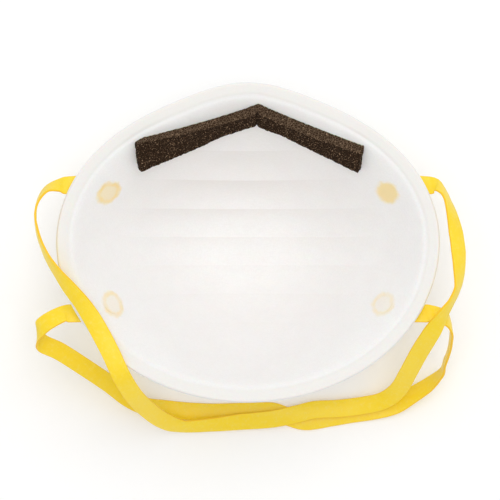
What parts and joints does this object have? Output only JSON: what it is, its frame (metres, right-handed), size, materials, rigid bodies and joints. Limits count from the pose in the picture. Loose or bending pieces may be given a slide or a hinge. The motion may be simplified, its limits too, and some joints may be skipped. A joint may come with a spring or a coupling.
{
  "type": "disposable dust mask",
  "caption": "Moulded cup-shaped disposable dust mask with a nose foam, a nose clip and two elastic straps welded near its edge.",
  "frame": {"origin": "centre of the cup's box in plan, on the surface that its front panel lies on", "axes": "+Z towards the wearer, out of the cup; +Y towards the nose; +X to the wearer's left, across the cheeks"},
  "size_m": [0.1519, 0.1262, 0.0531],
  "materials": {
    "cover_web": "matte spunbond nonwoven",
    "filter_web": "matte melt-blown nonwoven",
    "shell_web": "matte moulded felt",
    "adhesive": "tacky film",
    "clip_metal": "soft brushed",
    "foam": "open-cell foam",
    "fused_web": "fused, slightly translucent",
    "strap_band": "satin elastomer"
  },
  "bodies": {
    "cup_and_welds": {"outer_cover": "cover_web", "filter_media": "filter_web", "inner_shell": "shell_web", "nose_clip_adhesive": "adhesive", "nose_clip": "clip_metal", "nose_foam_adhesive": "adhesive", "nose_foam": "foam", "weld_upper_left": "fused_web", "weld_upper_right": "fused_web", "weld_lower_left": "fused_web", "weld_lower_right": "fused_web", "upper_strap_end_left": "strap_band", "upper_strap_end_right": "strap_band", "lower_strap_end_left": "strap_band", "lower_strap_end_right": "strap_band"},
    "head_strap_loop": {"upper_strap": "strap_band"},
    "neck_strap_loop": {"lower_strap": "strap_band"}
  },
  "joints": [
    {"name": "head_strap_swing", "type": "hinge", "parent": "cup_and_welds", "child": "head_strap_loop", "pos_m": [0, 0.02, 0.043], "axis": [-1, 0, 0], "range_deg": [0, 105]},
    {"name": "neck_strap_swing", "type": "hinge", "parent": "cup_and_welds", "child": "neck_strap_loop", "pos_m": [0, -0.025, 0.043], "axis": [-1, 0, 0], "range_deg": [0, 100]}
  ],
  "couplings": [
    {"joint": "neck_strap_swing", "follows": "head_strap_swing", "ratio": 0.9}
  ]
}
